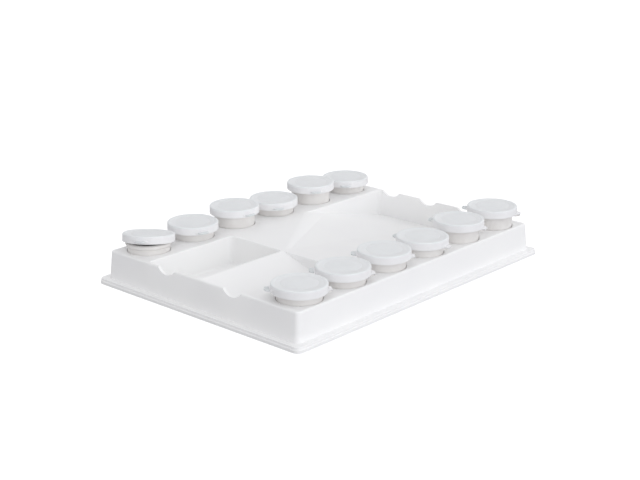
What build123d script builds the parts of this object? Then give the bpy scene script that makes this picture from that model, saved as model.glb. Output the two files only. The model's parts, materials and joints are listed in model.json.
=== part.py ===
from build123d import *
import os

os.makedirs("parts", exist_ok=True)

# Frame: X runs along the two rows of pots, Z is up, and the origin is at the
# middle of the tray's underside. Everything is in millimetres.

# Tray
tray_length = 280.0
tray_width = 205.6
tray_height = 25.4
wall = 1.6
lip_reach = 5.5            # how far the lip stands out from the foot of the wall
lip_height = 4.2
lip_step = 0.6             # set-back of the lip's upper step
lip_step_height = 2.4
lip_wall = 2.4
lip_round = 0.4
wall_lean = 1.75           # inward lean of the outer wall from lip to deck
corner_radius = 5.0
deck_round = 1.2
mouth_round = 0.6          # rounding of every well, socket and rest where it meets the deck
well_end = 130.5           # |X| where the wells meet the thin end walls
well_side = 54.0           # |Y| where the wells meet the pot strips
well_floor = 2.8           # height of the deepest floor
divider_left = -47.5       # the cross divider's two faces
divider_right = -45.5
ridge_half = 1.0           # half thickness of the ridge between the near wells
slant_drop = 16.5          # depth of the slanted well at its front wall
fan_reach = 34.0           # X where the big ramp's crest meets the back wall
crest_width = 6.0          # how far the crest rolls over, along the front half
fan_crest_width = 26.0     # and where it meets the back wall
well_corner = 3.0
floor_round = 2.0
above_deck = 5.0           # how far the cutting solids stand out of the deck
rest_width = 18.0          # brush rests cut in the end walls
rest_depth = 4.6
near_rests = (33.0, -34.0)
far_rests = (42.0, 2.0, -38.0)

# Pots and lids
pot_pitch = 44.45
row_offset = 76.8
socket_radius = 16.2
socket_depth = 21.0
socket_taper = 0.35        # radius lost from mouth to floor of a socket
pot_height = 27.0
pot_radius = 16.0
pot_foot_radius = 15.6
pot_wall = 1.0
pot_floor = 1.1
foot_ring_height = 0.6
foot_ring_width = 1.2
bead_radius = 17.4
bead_depth = 3.4
lid_radius = 19.6
lid_plate = 1.5
lid_recess = 0.5
lid_recess_radius = 17.3
skirt_depth = 6.0
skirt_inner = 17.75
lid_round = 0.8
lid_gap = 0.1              # between the pot's rim and the lid's plate
hinge_reach = 22.0         # hinge line, measured from the pot's axis
hinge_width = 8.0
knuckle_radius = 0.55
strap_thickness = 1.0
lug_thickness = 1.2
lug_gap = 0.25             # between the pot's lug and the hinge's knuckle
tab_reach = 24.0
tab_width = 8.0
tab_thickness = 1.2
tab_rise = 2.0             # tab's middle above the skirt's lower edge
tab_corner = 2.5
bite = 0.8                 # how far the strap, tab and lug run into the wall behind them

# One entry per pot: height of the closed lid's top above the deck, and the
# direction of the thumb tab, in degrees from +X. The hinge is opposite the tab.
rows = {
    "front": [(11.0, 140), (11.6, 132), (12.8, 132), (12.2, 102), (15.4, 108), (16.2, 118)],
    "back": [(9.0, 212), (11.8, 250), (15.2, 262), (11.6, 236), (16.2, 236), (11.8, 222)],
}
ajar = {"back_1": 9.0}     # lids not pressed home, degrees open


def slab(length, width, radius, low, high):
    """Upright block with rounded corners, centred on the Z axis."""
    outline = RectangleRounded(length, width, radius)
    return Pos(0, 0, low) * extrude(outline, high - low)


def lip_layer(inset, low, high):
    """One step of the tray's lip, with its top edge rounded."""
    layer = slab(tray_length - 2 * inset, tray_width - 2 * inset, corner_radius - inset, low, high)
    return fillet(layer.faces().sort_by(Axis.Z)[-1].edges(), lip_round)


def leaning_block(length, width, radius, lean, low, high):
    """Rounded block whose four walls lean in by `lean` towards the top."""
    foot = Pos(0, 0, low) * RectangleRounded(length, width, radius)
    top = Pos(0, 0, high) * RectangleRounded(length - 2 * lean, width - 2 * lean, radius - lean / 2)
    return loft([foot, top])


def prism_along_x(points, x_low, x_high):
    """Solid with a (Y, Z) outline, running from x_low to x_high."""
    face = make_face(Polyline([(x_low, y, z) for y, z in points], close=True))
    return extrude(face, x_high - x_low, dir=(1, 0, 0))


def rounded_uprights(solid, radius):
    """Round the solid's vertical edges."""
    return fillet(solid.edges().filter_by(Axis.Z), radius)


def deep_well(grow):
    """Flat-bottomed water well at the near back, grown by the wall for its outside."""
    low = Vector(-well_end - grow, ridge_half - grow, well_floor - grow)
    high = Vector(divider_left + grow, well_side + grow, tray_height + above_deck)
    block = Pos(*((low + high) / 2)) * Box(*(high - low))
    block = rounded_uprights(block, well_corner + grow)
    return fillet(block.faces().sort_by(Axis.Z)[0].edges(), floor_round)


def slanted_well(grow):
    """Near front well: the floor falls from the ridge to the front wall."""
    outline = [
        (-ridge_half + grow, tray_height + above_deck),
        (-ridge_half + grow, tray_height - grow),
        (-well_side - grow, tray_height - slant_drop - grow),
        (-well_side - grow, tray_height + above_deck),
    ]
    block = prism_along_x(outline, -well_end - grow, divider_left + grow)
    front = block.edges().filter_by(Axis.Z).group_by(Axis.Y)[0]
    return fillet(front, well_corner + grow)


def ramp_section(crest, y, grow, roll_width):
    """Lengthwise section of the big well at one Y, from its soft crest to the far wall."""
    top = tray_height + above_deck
    deck = tray_height - grow
    slope = (tray_height - well_floor) / (well_end - crest)
    start = (crest - grow, y, deck)
    pull = (crest + 0.45 * roll_width, y, deck - 0.1 * slope * roll_width)
    shoulder = (crest + roll_width, y, deck - slope * roll_width)
    foot = (well_end + grow, y, well_floor - grow)
    sides = Polyline(shoulder, foot, (well_end + grow, y, top), (crest - grow, y, top), start)
    return make_face([Bezier(start, pull, shoulder), *sides.edges()])


def ramp_well(grow):
    """Big mixing well: a ramp to the far wall, its crest fanning out on the back half."""
    middle = ramp_section(divider_right, 0, grow, crest_width)
    front = extrude(middle, well_side + grow, dir=(0, -1, 0))
    back = loft([middle, ramp_section(fan_reach, well_side + grow, grow, fan_crest_width)], ruled=True)
    block = front + back
    far = block.edges().filter_by(Axis.Z).group_by(Axis.X)[-1]
    far_corners = [edge for edge in far if abs(edge.center().Y) > well_side / 2]
    return fillet(far_corners, well_corner + grow)


def brush_rest(y, x):
    """Shallow round dip across an end wall."""
    radius = (rest_width ** 2 / 4 + rest_depth ** 2) / (2 * rest_depth)
    roller = Rotation(0, 90, 0) * Cylinder(radius, 5 * wall)
    return Pos(x, y, tray_height + radius - rest_depth) * roller


def pot_places():
    """Name, X, Y, lid height and tab direction of each of the twelve pots."""
    places = []
    for row, entries in rows.items():
        y = -row_offset if row == "front" else row_offset
        for index, (lid_top, tab) in enumerate(entries):
            x = (index - 2.5) * pot_pitch
            places.append((f"{row}_{index + 1}", x, y, lid_top, tab))
    return places


def socket(x, y, grow):
    """Tapered blind hole for one pot."""
    depth = socket_depth + grow
    cone = Cone(socket_radius - socket_taper + grow, socket_radius + grow, depth)
    mouth = Pos(x, y, tray_height + above_deck / 2) * Cylinder(socket_radius + grow, above_deck)
    return Pos(x, y, tray_height - depth / 2) * cone + mouth


def round_mouths(shell):
    """Round the edges where the wells and sockets open into the deck."""
    mouths = []
    for edge in shell.edges():
        box = edge.bounding_box()
        at_deck = min(abs(box.min.Z - tray_height), abs(box.max.Z - tray_height)) < 0.01
        level = box.max.Z - box.min.Z < 0.01
        inside_x = max(abs(box.min.X), abs(box.max.X)) < well_end + mouth_round
        inside_y = max(abs(box.min.Y), abs(box.max.Y)) < row_offset + socket_radius + wall
        if at_deck and level and inside_x and inside_y:
            mouths.append(edge)
    return fillet(mouths, mouth_round)


def make_tray():
    wall_length = tray_length - 2 * lip_reach
    wall_width = tray_width - 2 * lip_reach
    wall_corner = corner_radius - 1
    body = leaning_block(wall_length, wall_width, wall_corner, wall_lean, lip_height, tray_height)
    body = fillet(body.faces().sort_by(Axis.Z)[-1].edges(), deck_round)
    shell = body + lip_layer(0, 0, lip_step_height) + lip_layer(lip_step, lip_step_height, lip_height)

    hollow = leaning_block(
        wall_length - 2 * wall, wall_width - 2 * wall, wall_corner - wall / 2,
        wall_lean, lip_height - wall, tray_height - wall)
    hollow += slab(
        tray_length - 2 * lip_wall, tray_width - 2 * lip_wall, corner_radius - lip_wall / 2,
        -1, lip_height - wall)
    for well in (deep_well, slanted_well, ramp_well):
        hollow -= well(wall)
    for _, x, y, _, _ in pot_places():
        hollow -= socket(x, y, wall)
    shell -= hollow

    for well in (deep_well, slanted_well, ramp_well):
        shell -= well(0)
    for _, x, y, _, _ in pot_places():
        shell -= socket(x, y, 0)
    for y in near_rests:
        shell -= brush_rest(y, -well_end - wall)
    for y in far_rests:
        shell -= brush_rest(y, well_end + wall)
    return round_mouths(shell)


def hinge_place(tab):
    """Turns a piece built with its hinge towards +X so that its tab points to `tab`."""
    return Rotation(0, 0, tab + 180)


def make_pot():
    """Pot with its rim at Z = 0 and its hinge lug towards +X."""
    inner = pot_radius - pot_wall
    foot_inner = pot_foot_radius - pot_wall
    floor_under = foot_ring_height - pot_height
    floor_top = floor_under + pot_floor
    ring_outer = pot_foot_radius - foot_ring_height
    ring_inner = ring_outer - foot_ring_width
    outside = Polyline(
        (0, 0, floor_under),
        (ring_inner - foot_ring_height, 0, floor_under),
        (ring_inner, 0, -pot_height),
        (ring_outer, 0, -pot_height),
        (pot_foot_radius, 0, floor_under),
        (pot_radius, 0, -bead_depth),
    )
    bead = ThreePointArc((pot_radius, 0, -bead_depth), (bead_radius, 0, -bead_depth / 2), (pot_radius, 0, 0))
    inside = Polyline(
        (pot_radius, 0, 0),
        (inner + pot_wall / 3, 0, 0),
        (inner, 0, -pot_wall / 2),
        (foot_inner, 0, floor_top + pot_wall),
        (foot_inner - pot_wall, 0, floor_top),
        (0, 0, floor_top),
        (0, 0, floor_under),
    )
    body = revolve(make_face(Wire([*outside.edges(), bead, *inside.edges()])), Axis.Z)
    lug_low = pot_radius - bite
    lug_high = hinge_reach - knuckle_radius - lug_gap
    lug_top = lid_plate + lid_gap - skirt_depth
    lug = Box(lug_high - lug_low, hinge_width, lug_thickness)
    return body + Pos((lug_low + lug_high) / 2, 0, lug_top - lug_thickness / 2) * lug


def make_lid():
    """Closed lid with its top at Z = 0 and its hinge towards +X."""
    disc = Pos(0, 0, -skirt_depth / 2) * Cylinder(lid_radius, skirt_depth)
    disc = fillet(disc.faces().sort_by(Axis.Z)[-1].edges(), lid_round)
    bore_depth = skirt_depth - lid_plate
    disc -= Pos(0, 0, -lid_plate - bore_depth / 2) * Cylinder(skirt_inner, bore_depth)
    disc -= Pos(0, 0, -lid_recess / 2) * Cone(
        lid_recess_radius - lid_recess, lid_recess_radius, lid_recess)
    root = lid_radius - bite
    strap = Box(hinge_reach - root, hinge_width, strap_thickness)
    strap = Pos((root + hinge_reach) / 2, 0, knuckle_radius - skirt_depth) * strap
    knuckle = Rotation(90, 0, 0) * Cylinder(knuckle_radius, hinge_width)
    knuckle = Pos(hinge_reach, 0, -skirt_depth) * knuckle
    tab = Box(tab_reach - root, tab_width, tab_thickness)
    tab = Pos(-(root + tab_reach) / 2, 0, tab_rise - skirt_depth) * tab
    tab = fillet(tab.edges().filter_by(Axis.Z).group_by(Axis.X)[0], tab_corner)
    return disc + strap + knuckle + tab


export_step(make_tray(), "parts/tray.step")

pot = make_pot()
lid = make_lid()
hinge_line = Axis((hinge_reach, 0, -skirt_depth), (0, 1, 0))
for name, x, y, lid_top, tab in pot_places():
    lid_place = Pos(x, y, tray_height + lid_top) * hinge_place(tab)
    rim_drop = Pos(0, 0, -lid_plate - lid_gap)
    tilted = lid.rotate(hinge_line, ajar.get(name, 0.0))
    export_step(lid_place * rim_drop * pot, f"parts/pot_{name}.step")
    export_step(lid_place * tilted, f"parts/lid_{name}.step")
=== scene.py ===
import bpy
import bmesh
import json
import math
import random
from mathutils import Matrix, Vector

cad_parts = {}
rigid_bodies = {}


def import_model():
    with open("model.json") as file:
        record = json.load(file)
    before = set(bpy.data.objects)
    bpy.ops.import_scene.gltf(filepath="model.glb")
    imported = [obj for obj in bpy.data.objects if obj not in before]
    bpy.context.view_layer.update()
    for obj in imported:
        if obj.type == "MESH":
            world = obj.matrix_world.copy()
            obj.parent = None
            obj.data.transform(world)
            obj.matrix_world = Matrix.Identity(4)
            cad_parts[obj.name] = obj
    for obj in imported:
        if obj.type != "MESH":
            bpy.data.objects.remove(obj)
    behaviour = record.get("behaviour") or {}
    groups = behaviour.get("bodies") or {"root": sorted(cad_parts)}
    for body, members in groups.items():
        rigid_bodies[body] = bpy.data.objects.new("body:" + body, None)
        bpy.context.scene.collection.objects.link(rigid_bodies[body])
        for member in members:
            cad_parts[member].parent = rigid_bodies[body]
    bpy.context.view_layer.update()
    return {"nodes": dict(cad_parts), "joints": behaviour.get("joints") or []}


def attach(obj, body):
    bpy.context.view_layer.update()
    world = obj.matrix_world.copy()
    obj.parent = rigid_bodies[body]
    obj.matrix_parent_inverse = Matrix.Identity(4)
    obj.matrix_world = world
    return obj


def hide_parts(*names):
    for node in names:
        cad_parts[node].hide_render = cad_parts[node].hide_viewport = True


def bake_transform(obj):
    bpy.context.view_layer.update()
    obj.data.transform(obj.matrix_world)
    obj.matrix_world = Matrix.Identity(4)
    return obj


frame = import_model()
mm = 0.001
flips = {j["child"]: j for j in frame["joints"] if j["child"].startswith("lid_")}    # the lid hinges
random.seed(24)


def toLinear(hexColour):
    # sRGB hex to the linear colour that the shaders use
    channels = [int(hexColour[i:i + 2], 16) / 255 for i in (0, 2, 4)]
    linear = [c / 12.92 if c <= 0.04045 else ((c + 0.055) / 1.055) ** 2.4 for c in channels]
    return (*linear, 1.0)


def addNode(tree, kind, settings=None, inputs=None, links=None):
    # settings: attributes, inputs: socket values, links: socket -> (node, output)
    node = tree.nodes.new(kind)
    for name, value in (settings or {}).items():
        setattr(node, name, value)
    for name, value in (inputs or {}).items():
        node.inputs[name].default_value = value
    for name, (source, output) in (links or {}).items():
        tree.links.new(source.outputs[output], node.inputs[name])
    return node


def fillRamp(node, stops):
    # stops: (position, hex) pairs, first and last included
    ramp = node.color_ramp
    while len(ramp.elements) < len(stops):
        ramp.elements.new(0.5)
    for element, (position, hexColour) in zip(ramp.elements, stops):
        element.position = position
        element.color = toLinear(hexColour)
    return node


def startMaterial(name):
    material = bpy.data.materials.new(name)
    material.use_nodes = True
    material.node_tree.nodes.clear()
    return material, material.node_tree


def finishPiece(name, mesh, material, sharpDegrees):
    # smooth shading up to the sharp edges, one material, and an object to carry it
    mesh.materials.clear()
    mesh.materials.append(material)
    for face in mesh.polygons:
        face.use_smooth = True
    mesh.set_sharp_from_angle(angle=math.radians(sharpDegrees))
    piece = bpy.data.objects.new(name, mesh)
    bpy.context.scene.collection.objects.link(piece)
    return piece


def meshPiece(name, bm, material, sharpDegrees=35):
    mesh = bpy.data.meshes.new(name)
    bmesh.ops.recalc_face_normals(bm, faces=bm.faces)
    bm.to_mesh(mesh)
    bm.free()
    return finishPiece(name, mesh, material, sharpDegrees)


def lathe(profile, segments):
    # closed turned solid from (radius, height) points that start and end on the Z axis
    bm = bmesh.new()
    rings = []
    for radius, height in profile:
        if radius == 0:
            rings.append([bm.verts.new((0, 0, height * mm))] * segments)
            continue
        turns = [2 * math.pi * k / segments for k in range(segments)]
        spots = [(radius * math.cos(t), radius * math.sin(t), height) for t in turns]
        rings.append([bm.verts.new((x * mm, y * mm, z * mm)) for x, y, z in spots])
    for low, high in zip(rings, rings[1:]):
        for k in range(segments):
            corners = [low[k], low[k - 1], high[k - 1], high[k]]
            bm.faces.new(list(dict.fromkeys(corners)))
    return bm


def tongue(length, alongSteps, acrossSteps, halfWidth, top, bottom):
    # flat closed tongue along X; halfWidth, top and bottom are functions of the place along it
    bm = bmesh.new()
    sheets = []
    for surface in (top, bottom):
        sheet = []
        for i in range(alongSteps + 1):
            x = length[0] + (length[1] - length[0]) * i / alongSteps
            row = []
            for j in range(acrossSteps + 1):
                across = 2 * j / acrossSteps - 1
                y = halfWidth(x) * math.sin(across * math.pi / 2)
                row.append(bm.verts.new((x * mm, y * mm, surface(x, across) * mm)))
            sheet.append(row)
        sheets.append(sheet)
    for sheet in sheets:
        for low, high in zip(sheet, sheet[1:]):
            for j in range(acrossSteps):
                bm.faces.new((low[j], low[j + 1], high[j + 1], high[j]))
    upper, lower = sheets
    rims = []
    for sheet in (upper, lower):
        near, far = sheet[0], sheet[-1]
        right = [row[-1] for row in sheet[1:-1]]
        left = [row[0] for row in sheet[-2:0:-1]]
        rims.append(near + right + far[::-1] + left)
    for k in range(len(rims[0])):
        bm.faces.new((rims[0][k - 1], rims[0][k], rims[1][k], rims[1][k - 1]))
    return bm


def fuse(parts):
    # one solid skin from several closed ones, so that no face is left inside
    objects = []
    for bm in parts:
        bmesh.ops.recalc_face_normals(bm, faces=bm.faces)
        mesh = bpy.data.meshes.new("moulding")
        bm.to_mesh(mesh)
        bm.free()
        objects.append(bpy.data.objects.new("moulding", mesh))
        bpy.context.scene.collection.objects.link(objects[-1])
    body = objects[0]
    for other in objects[1:]:
        join = body.modifiers.new("join", "BOOLEAN")
        join.operation = "UNION"
        join.solver = "EXACT"
        join.object = other
    evaluated = body.evaluated_get(bpy.context.evaluated_depsgraph_get())
    mesh = bpy.data.meshes.new_from_object(evaluated)
    for item in objects:
        bpy.data.objects.remove(item)
    return mesh


camera = {                # degrees and millimetres
    "azimuth": -47.76,
    "elevation": 18.02,
    "distance": 1067.9,
    "target": (48.2, 49.2, 0.0),
    "lens": 72.8,
    "sensorWidth": 36.0,
}


def placeCamera():
    az, el = math.radians(camera["azimuth"]), math.radians(camera["elevation"])
    back = Vector((math.sin(az) * math.cos(el), -math.cos(az) * math.cos(el), math.sin(el)))
    data = bpy.data.cameras.new("studioCamera")
    data.lens = camera["lens"]
    data.sensor_width = camera["sensorWidth"]
    data.clip_start = 0.01
    body = bpy.data.objects.new("studioCamera", data)
    body.location = (Vector(camera["target"]) + back * camera["distance"]) * mm
    body.rotation_euler = (-back).to_track_quat("-Z", "Y").to_euler()
    bpy.context.scene.collection.objects.link(body)
    bpy.context.scene.camera = body


placeCamera()
print("camera placed")


def mouldedStyrene():
    # high-impact polystyrene, injection moulded against a finely blasted tool: soft satin white,
    # light that sinks a little way in, faint flow shading, and scuffs where brushes have been
    sizes = {"grainMm": 0.55, "flowMm": 60.0, "scuffMm": 7.0}
    material, tree = startMaterial("mouldedStyrene")
    place = addNode(tree, "ShaderNodeNewGeometry")
    grain = addNode(tree, "ShaderNodeTexNoise", {"noise_dimensions": "3D"},
                    {"Scale": 1000 / sizes["grainMm"], "Detail": 3.0, "Roughness": 0.6},
                    {"Vector": (place, "Position")})
    flow = addNode(tree, "ShaderNodeTexNoise", None,
                   {"Scale": 1000 / sizes["flowMm"], "Detail": 2.0, "Distortion": 0.6},
                   {"Vector": (place, "Position")})
    scuff = addNode(tree, "ShaderNodeTexNoise", None,
                    {"Scale": 1000 / sizes["scuffMm"], "Detail": 8.0, "Roughness": 0.7, "Distortion": 1.5},
                    {"Vector": (place, "Position")})
    tint = fillRamp(addNode(tree, "ShaderNodeValToRGB", None, None, {"Fac": (flow, "Fac")}),
                    [(0.30, "FAFAFA"), (0.70, "FDFDFC")])
    gloss = addNode(tree, "ShaderNodeMapRange", None,
                    {"From Min": 0.35, "From Max": 0.7, "To Min": 0.36, "To Max": 0.5},
                    {"Value": (scuff, "Fac")})
    bump = addNode(tree, "ShaderNodeBump", None, {"Strength": 0.12, "Distance": 0.00006},
                   {"Height": (grain, "Fac")})
    shader = addNode(tree, "ShaderNodeBsdfPrincipled", None,
                     {"IOR": 1.59, "Subsurface Weight": 0.15, "Subsurface Scale": 0.003,
                      "Subsurface Radius": (1.0, 1.0, 1.0)},
                     {"Base Color": (tint, "Color"), "Roughness": (gloss, "Result"),
                      "Normal": (bump, "Normal")})
    addNode(tree, "ShaderNodeOutputMaterial", None, None, {"Surface": (shader, "BSDF")})
    return material


def frostedLidPlastic():
    # low-density polyethylene, moulded thin: milky and waxy, cool where light passes through it
    sizes = {"cloudMm": 9.0, "grainMm": 0.8}
    material, tree = startMaterial("frostedLidPlastic")
    place = addNode(tree, "ShaderNodeNewGeometry")
    cloud = addNode(tree, "ShaderNodeTexNoise", None,
                    {"Scale": 1000 / sizes["cloudMm"], "Detail": 4.0, "Distortion": 0.8},
                    {"Vector": (place, "Position")})
    grain = addNode(tree, "ShaderNodeTexNoise", None,
                    {"Scale": 1000 / sizes["grainMm"], "Detail": 2.0}, {"Vector": (place, "Position")})
    paintedShadeFac = addNode(tree, "ShaderNodeAttribute", {"attribute_name": "paintedShadeMark"})
    # painted shade: this ramp makes the lid's top plate greyer than its skirt and the thumb tab darker still
    shade = fillRamp(addNode(tree, "ShaderNodeValToRGB", None, None, {"Fac": (paintedShadeFac, "Fac")}),
                     [(0.0, "FCFCFD"), (0.5, "F5F8F9"), (1.0, "E5E9EA")])
    haze = addNode(tree, "ShaderNodeMapRange", None,
                   {"From Min": 0.3, "From Max": 0.7, "To Min": 0.96, "To Max": 1.0},
                   {"Value": (cloud, "Fac")})
    tint = addNode(tree, "ShaderNodeVectorMath", {"operation": "SCALE"}, None,
                   {"Vector": (shade, "Color"), "Scale": (haze, "Result")})
    rough = addNode(tree, "ShaderNodeMapRange", None,
                    {"From Min": 0.3, "From Max": 0.7, "To Min": 0.3, "To Max": 0.42},
                    {"Value": (cloud, "Fac")})
    bump = addNode(tree, "ShaderNodeBump", None, {"Strength": 0.1, "Distance": 0.00008},
                   {"Height": (grain, "Fac")})
    shader = addNode(tree, "ShaderNodeBsdfPrincipled", None,
                     {"IOR": 1.51, "Transmission Weight": 0.06, "Subsurface Weight": 0.35,
                      "Subsurface Scale": 0.0015, "Subsurface Radius": (1.0, 1.0, 1.0)},
                     {"Base Color": (tint, "Vector"), "Roughness": (rough, "Result"),
                      "Normal": (bump, "Normal")})
    addNode(tree, "ShaderNodeOutputMaterial", None, None, {"Surface": (shader, "BSDF")})
    return material


def frostedPotPlastic():
    # the same polyethylene as the lids: a warmer milk with a soft sheen, painted greyer than the lid plastic
    # for the shade that the pot's band sits in under the lid's skirt
    sizes = {"cloudMm": 12.0, "drawLineMm": 1.4}
    material, tree = startMaterial("frostedPotPlastic")
    place = addNode(tree, "ShaderNodeNewGeometry")
    cloud = addNode(tree, "ShaderNodeTexNoise", None,
                    {"Scale": 1000 / sizes["cloudMm"], "Detail": 3.0}, {"Vector": (place, "Position")})
    drawLine = addNode(tree, "ShaderNodeTexWave", {"bands_direction": "Z"},
                       {"Scale": 1000 / sizes["drawLineMm"] / 20, "Distortion": 1.2, "Detail": 2.0},
                       {"Vector": (place, "Position")})
    # painted shade: these greys are darker than the lid's for the shade under the lid's skirt; the warm tint
    # and the cloudy variation are the plastic's own
    tint = fillRamp(addNode(tree, "ShaderNodeValToRGB", None, None, {"Fac": (cloud, "Fac")}),
                    [(0.3, "EDEAE7"), (0.7, "F3F1EE")])
    rough = addNode(tree, "ShaderNodeMapRange", None,
                    {"From Min": 0.3, "From Max": 0.7, "To Min": 0.32, "To Max": 0.45},
                    {"Value": (cloud, "Fac")})
    bump = addNode(tree, "ShaderNodeBump", None, {"Strength": 0.06, "Distance": 0.0001},
                   {"Height": (drawLine, "Fac")})
    shader = addNode(tree, "ShaderNodeBsdfPrincipled", None,
                     {"IOR": 1.51, "Transmission Weight": 0.04, "Subsurface Weight": 0.35,
                      "Subsurface Scale": 0.0015, "Subsurface Radius": (1.0, 1.0, 1.0)},
                     {"Base Color": (tint, "Color"), "Roughness": (rough, "Result"),
                      "Normal": (bump, "Normal")})
    addNode(tree, "ShaderNodeOutputMaterial", None, None, {"Surface": (shader, "BSDF")})
    return material


trayPlastic = mouldedStyrene()
lidPlastic = frostedLidPlastic()
potPlastic = frostedPotPlastic()
for node, piece in frame["nodes"].items():
    kind = node.split("_")[0]
    piece.data.materials.clear()
    piece.data.materials.append({"tray": trayPlastic, "pot": potPlastic, "lid": lidPlastic}[kind])
print("materials made")

# heights are below the closed lid's rim; the hinge is towards +X, the thumb tab towards -X
lid = {
    "topProfile": [(0, -0.2), (4, -0.21), (8, -0.25), (12.4, -0.32)],      # barely dished disc
    "ringGroove": (13.1, 0.45, 0.13), "grooveDrop": 0.02,    # witness ring: radius, half width, depth
    "rim": [(16.3, -0.37), (16.75, -0.31), (17.1, -0.15), (17.5, -0.04), (17.9, 0), (18.5, 0)],
    "edgeCentre": (18.78, -0.82), "edgeRadius": 0.82, "edgeSteps": 6,
    "skirt": [(19.6, -1.8), (19.58, -3.4), (19.62, -4.7), (19.68, -5.5), (19.62, -5.82), (19.4, -5.98),
              (19.1, -6.02), (18.5, -6.02), (18.1, -5.9), (17.88, -5.55)],
    "snapBead": [(17.8, -5.1), (17.56, -4.75), (17.46, -4.4), (17.56, -4.05), (17.78, -3.75)],
    "inside": [(17.8, -2.4), (17.7, -1.6), (17.4, -1.31), (16.8, -1.27), (14.7, -1.27)],
    "sealRing": [(14.45, -1.42), (14.35, -2.5), (14.2, -2.78), (14.0, -2.8), (13.8, -2.5), (13.65, -1.42),
                 (13.4, -1.27)],
    "under": [(9, -1.24), (4, -1.2), (0, -1.18)],
    "segments": 112,
    "outerRadius": 19.6,
    "warp": 0.1, "tiltDegrees": 0.45,     # how far a cooled lid is out of flat and out of level
    "heldFrom": 17.0, "heldOver": 10.0,   # near the hinge the lid can't warp
    "sharpDegrees": 32,
}
tab = {
    "root": -18.7, "tip": -23.9, "halfWidth": 4.0, "corner": 2.6, "thick": 1.15, "thinning": 0.12,
    "middle": -4.0, "lift": 0.35, "edgeRound": 0.22, "narrowest": 0.6,
    "flare": 1.5, "flareEnd": -21.7, "flareStart": -19.5, "flareFade": 0.55,
    "gripRidges": (-21.0, -21.9, -22.8), "gripHeight": 0.22, "gripHalfLength": 0.22, "gripSpread": 0.8,
    "steps": (44, 18),
}
hinge = {
    "reach": 22.0, "drop": 6.0, "halfWidth": 3.0, "flare": 1.0, "flareStart": 19.4, "flareFade": 0.5,
    "thinFrom": 20.2, "thinOver": 1.8,    # both straps thin towards the hinge line
    "strapRoot": 18.7, "strapTop": 1.15, "strapBottom": 0.1, "strapSteps": (18, 14), "lugSteps": (22, 14),
    "webOuter": 0.64, "webInner": 0.34, "webSteps": 14, "webTurn": (-96, 96), "webBelly": 0.22,
    "webInset": 0.12, "webMargin": 0.1,
}


def edgeArc(centre, radius, steps):
    turns = [math.pi / 2 * (1 - k / steps) for k in range(steps + 1)]
    return [(centre[0] + radius * math.cos(t), centre[1] + radius * math.sin(t)) for t in turns]


def lidProfile():
    radius, half, depth = lid["ringGroove"]
    level = lid["topProfile"][-1][1] - lid["grooveDrop"]
    groove = [(radius - half, level), (radius - half / 3, level - depth), (radius + half / 3, level - depth),
              (radius + half, level)]
    edge = edgeArc(lid["edgeCentre"], lid["edgeRadius"], lid["edgeSteps"])
    return [*lid["topProfile"], *groove, *lid["rim"], *edge, *lid["skirt"], *lid["snapBead"],
            *lid["inside"], *lid["sealRing"], *lid["under"]]


def tabOutline(x):
    # straight sides that flare into the skirt, and a rounded end
    rounding = max(0.0, tab["tip"] + tab["corner"] - x)
    end = tab["corner"] - math.sqrt(max(0.0, tab["corner"] ** 2 - rounding ** 2))
    flare = 0
    if x > tab["flareEnd"]:
        flare = min(tab["flare"], tab["flare"] * math.exp((x - tab["flareStart"]) / tab["flareFade"]))
    return max(tab["halfWidth"] + flare - end, tab["narrowest"])


def alongTab(x):
    return (tab["root"] - x) / (tab["root"] - tab["tip"])


def tabTop(x, across):
    run = alongTab(x)
    ridges = sum(math.exp(-((x - place) / tab["gripHalfLength"]) ** 2) for place in tab["gripRidges"])
    soft = 1 - abs(across) ** 6
    grip = tab["gripHeight"] * ridges * soft if abs(across) < tab["gripSpread"] else 0
    level = tab["middle"] + tab["lift"] * run ** 2 + tab["thick"] * (0.5 - tab["thinning"] * run)
    return level + grip - tab["edgeRound"] * (1 - soft)


def tabBottom(x, across):
    level = tab["middle"] + tab["lift"] * alongTab(x) ** 2 - tab["thick"] * 0.5
    return level + tab["edgeRound"] * abs(across) ** 6


def flapOutline(x):
    past = max(0.0, x - hinge["flareStart"])
    return hinge["halfWidth"] + hinge["flare"] * math.exp(-past / hinge["flareFade"])


def hingeThin(x):
    return max(0.0, (x - hinge["thinFrom"]) / hinge["thinOver"]) ** 2


def strapTop(x, across):
    # the lid's half of the hinge thins to the web
    return hinge["strapTop"] - hinge["drop"] - 0.45 * hingeThin(x) - 0.1 * abs(across) ** 8


def strapBottom(x, across):
    return hinge["strapBottom"] - hinge["drop"] + 0.24 * hingeThin(x)


def makeLidMoulding():
    disc = lathe(lidProfile(), lid["segments"])
    thumb = tongue((tab["root"], tab["tip"]), *tab["steps"], tabOutline, tabTop, tabBottom)
    span = (hinge["strapRoot"], hinge["reach"])
    strap = tongue(span, *hinge["strapSteps"], flapOutline, strapTop, strapBottom)
    return fuse([disc, thumb, strap])


# heights are below the pot's rim
pot = {
    "foot": [(0, -26.4), (11, -26.4), (12.4, -26.45), (13.1, -26.9), (13.5, -27), (14.5, -27),
             (14.95, -26.9), (15.35, -26.55), (15.55, -26.1)],
    "wall": [(15.66, -22), (15.76, -16), (15.87, -10), (15.95, -5.2), (16.0, -3.9)],
    "beadRoot": 16.0, "beadCentre": -1.85, "beadHalf": 1.55, "beadReach": 1.4, "beadFull": 0.8,
    "beadSteps": 10,
    "rim": [(16.0, -0.1), (15.85, 0), (15.55, 0), (15.3, -0.12), (15.12, -0.45)],
    "inside": [(14.95, -4), (14.9, -10), (14.8, -16), (14.72, -22), (14.62, -24), (14.2, -24.9),
               (13.4, -25.25), (12.4, -25.3), (6, -25.28), (0, -25.26)],
    "segments": 112,
    "lugRoot": 15.2, "lugTop": -4.5, "lugThick": 1.2,
    "belowLid": 1.6,      # the pot's rim stands this far below the lid's
}


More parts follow.
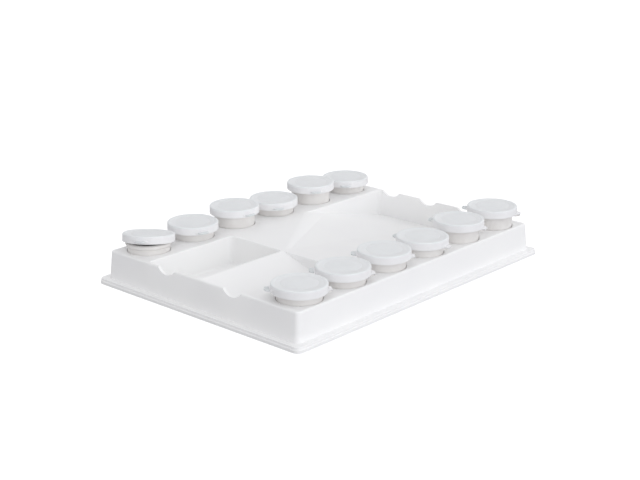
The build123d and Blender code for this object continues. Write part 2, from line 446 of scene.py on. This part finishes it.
def potProfile():
    bead = []
    for k in range(1, pot["beadSteps"]):
        turn = math.pi * k / pot["beadSteps"]
        radius = pot["beadRoot"] + pot["beadReach"] * math.sin(turn) ** pot["beadFull"]
        bead.append((radius, pot["beadCentre"] - pot["beadHalf"] * math.cos(turn)))
    return [*pot["foot"], *pot["wall"], *bead, *pot["rim"], *pot["inside"]]


def lugTop(x, across):
    return pot["lugTop"] - 0.1 * hingeThin(x)


def lugBottom(x, across):
    return pot["lugTop"] - pot["lugThick"] + 0.55 * hingeThin(x) + 0.1 * abs(across) ** 8


def makePotMoulding():
    cup = lathe(potProfile(), pot["segments"])
    lug = tongue((pot["lugRoot"], hinge["reach"]), *hinge["lugSteps"], flapOutline, lugTop, lugBottom)
    return fuse([cup, lug])


def webMesh():
    # thin moulded web that wraps the hinge line from the pot's flap up to the lid's
    bm = bmesh.new()
    rings = []
    low, high = hinge["webTurn"]
    halfWidth = hinge["halfWidth"] - hinge["webMargin"]
    for k in range(hinge["webSteps"] + 1):
        turn = math.radians(low + (high - low) * k / hinge["webSteps"])
        outer = hinge["webOuter"] * (1 - hinge["webBelly"] * math.cos(turn) ** 2)    # thinnest at the bend
        inner = hinge["webInner"]
        ring = []
        for side, radius in ((-1, inner), (-1, outer), (1, outer), (1, inner)):
            x = hinge["reach"] - hinge["webInset"] + radius * math.cos(turn)
            z = radius * math.sin(turn) - hinge["drop"]
            ring.append(bm.verts.new((x * mm, side * halfWidth * mm, z * mm)))
        rings.append(ring)
    for before, after in zip(rings, rings[1:]):
        for k in range(4):
            bm.faces.new((before[k - 1], before[k], after[k], after[k - 1]))
    bm.faces.new(rings[0])
    bm.faces.new(rings[-1])
    return bm


# how much painted shade each part of a lid gets: the plate by its height, the free tab in full
paintedShadeMark = {"tabFrom": -20.2, "plateFrom": -1.1, "plateOver": 0.9, "plateMark": 0.5, "tabMark": 1.0}


def markPaintedShade(mesh):
    # painted shade, not a change in the plastic: none on the skirt, which has the pot's rim behind it, half
    # on the top plate, painted greyer than the skirt, and full on the free tab, painted darkest for the
    # shade it sits in
    mark = mesh.attributes.new("paintedShadeMark", "FLOAT", "POINT")
    for vertex, entry in zip(mesh.vertices, mark.data):
        plate = min(1.0, max(0.0, (vertex.co.z / mm - paintedShadeMark["plateFrom"]) / paintedShadeMark["plateOver"]))
        onTab = vertex.co.x / mm < paintedShadeMark["tabFrom"]
        entry.value = paintedShadeMark["tabMark"] if onTab else paintedShadeMark["plateMark"] * plate


def copyMoulding(name, moulding, material, change, place):
    # one pressing of the moulding, with its own slight warp, set in its place
    mesh = moulding.copy()
    mesh.name = name
    for vertex in mesh.vertices:
        vertex.co = place @ change(vertex.co)
    return finishPiece(name, mesh, material, lid["sharpDegrees"])


def lidWarp(phase, tilt, tiltTurn):
    # a cooled lid is never quite flat, nor pressed quite level, away from its hinge side
    def change(co):
        reach = min(math.hypot(co.x, co.y) / (lid["outerRadius"] * mm), 1.1)
        turn = math.atan2(co.y, co.x)
        hold = min(1.0, max(0.0, (lid["heldFrom"] * mm - co.x) / (lid["heldOver"] * mm)))
        lean = math.tan(tilt) * (co.x * math.cos(tiltTurn) + co.y * math.sin(tiltTurn))
        lift = lid["warp"] * mm * math.cos(2 * turn + phase) * reach ** 2
        return Vector((co.x, co.y, co.z + hold * (lift + lean)))
    return change


def unchanged(co):
    return co


def placePart(piece, body):
    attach(piece, body)
    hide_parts(body)


def makePotsAndLids():
    lidMoulding = makeLidMoulding()
    markPaintedShade(lidMoulding)
    potMoulding = makePotMoulding()
    for lidBody, flip in sorted(flips.items()):
        potBody = flip["parent"]
        label = lidBody.removeprefix("lid_")
        line = Vector(flip["pos_m"])
        towardsHinge = Vector((flip["axis"][1], -flip["axis"][0], 0))
        centre = line - towardsHinge * hinge["reach"] * mm
        spin = Matrix.Rotation(math.atan2(towardsHinge.y, towardsHinge.x), 4, "Z")
        lidRim = line.z + hinge["drop"] * mm
        lidPlace = Matrix.Translation((centre.x, centre.y, lidRim)) @ spin
        potPlace = Matrix.Translation((centre.x, centre.y, lidRim - pot["belowLid"] * mm)) @ spin
        restOpen = Matrix.Rotation(math.radians(-flip["range_deg"][0]), 4, "Y")
        pivot = Matrix.Translation((hinge["reach"] * mm, 0, -hinge["drop"] * mm))
        opened = lidPlace @ pivot @ restOpen @ pivot.inverted()
        phase, tiltTurn = random.uniform(0, math.tau), random.uniform(0, math.tau)
        tilt = math.radians(lid["tiltDegrees"]) * random.uniform(0.3, 1)
        warp = lidWarp(phase, tilt, tiltTurn)
        cover = copyMoulding(f"lidMoulding_{label}", lidMoulding, lidPlastic, warp, opened)
        placePart(cover, lidBody)
        cup = copyMoulding(f"potMoulding_{label}", potMoulding, potPlastic, unchanged, potPlace)
        placePart(cup, potBody)
        web = meshPiece(f"hingeWeb_{label}", webMesh(), lidPlastic)
        for vertex in web.data.vertices:
            vertex.co = lidPlace @ vertex.co
        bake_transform(web)
    print(f"{len(flips)} pots, lids and hinge webs moulded")


makePotsAndLids()

stage = {"floorHex": "CCCCCD", "glowHex": "FFFFFF", "glow": 0.7, "floorMetres": 60.0, "roughness": 0.95}


def makeFloor():
    # white sweep that glows a little, as a lit paper does, so the shadows on it stay faint
    material, tree = startMaterial("paperSweep")
    shader = addNode(tree, "ShaderNodeBsdfPrincipled", None,
                     {"Base Color": toLinear(stage["floorHex"]), "Roughness": stage["roughness"],
                      "Emission Color": toLinear(stage["glowHex"]), "Emission Strength": stage["glow"]})
    addNode(tree, "ShaderNodeOutputMaterial", None, None, {"Surface": (shader, "BSDF")})
    bm = bmesh.new()
    bmesh.ops.create_grid(bm, x_segments=1, y_segments=1, size=stage["floorMetres"] / 2)
    floor = meshPiece("paperSweep", bm, material)
    onlyFloor = bpy.data.collections.new("litByTheSweep")
    onlyFloor.objects.link(floor)
    floor.light_linking.receiver_collection = onlyFloor      # its glow whitens the sweep alone


lights = [                # metres and watts
    {"name": "frontSoftbox", "from": (-0.4, -1.7, 0.55), "size": 1.3, "watts": 7.5, "hex": "F8FAFF"},
]
air = {"hex": "FDFDFF", "level": 0.82, "lean": (0.10, -0.15, 0.0)}    # brighter to +X and -Y


def makeLights():
    for light in lights:
        data = bpy.data.lights.new(light["name"], "AREA")
        data.size = light["size"]
        data.energy = light["watts"]
        data.color = toLinear(light["hex"])[:3]
        lamp = bpy.data.objects.new(light["name"], data)
        lamp.location = light["from"]
        lamp.rotation_euler = (-Vector(light["from"])).to_track_quat("-Z", "Y").to_euler()
        bpy.context.scene.collection.objects.link(lamp)
    world = bpy.data.worlds.new("studioAir")
    world.use_nodes = True
    tree = world.node_tree
    tree.nodes.clear()
    direction = addNode(tree, "ShaderNodeTexCoord")
    lean = addNode(tree, "ShaderNodeVectorMath", {"operation": "DOT_PRODUCT"}, None,
                   {"Vector": (direction, "Generated")})
    lean.inputs[1].default_value = air["lean"]
    level = addNode(tree, "ShaderNodeMath", {"operation": "ADD"}, None, {"Value": (lean, "Value")})
    level.inputs[1].default_value = air["level"]
    sky = addNode(tree, "ShaderNodeBackground", None, {"Color": toLinear(air["hex"])},
                  {"Strength": (level, "Value")})
    addNode(tree, "ShaderNodeOutputWorld", None, None, {"Surface": (sky, "Background")})
    bpy.context.scene.world = world
    bpy.context.scene.view_settings.view_transform = "Standard"


makeFloor()
makeLights()
print("stage lit")
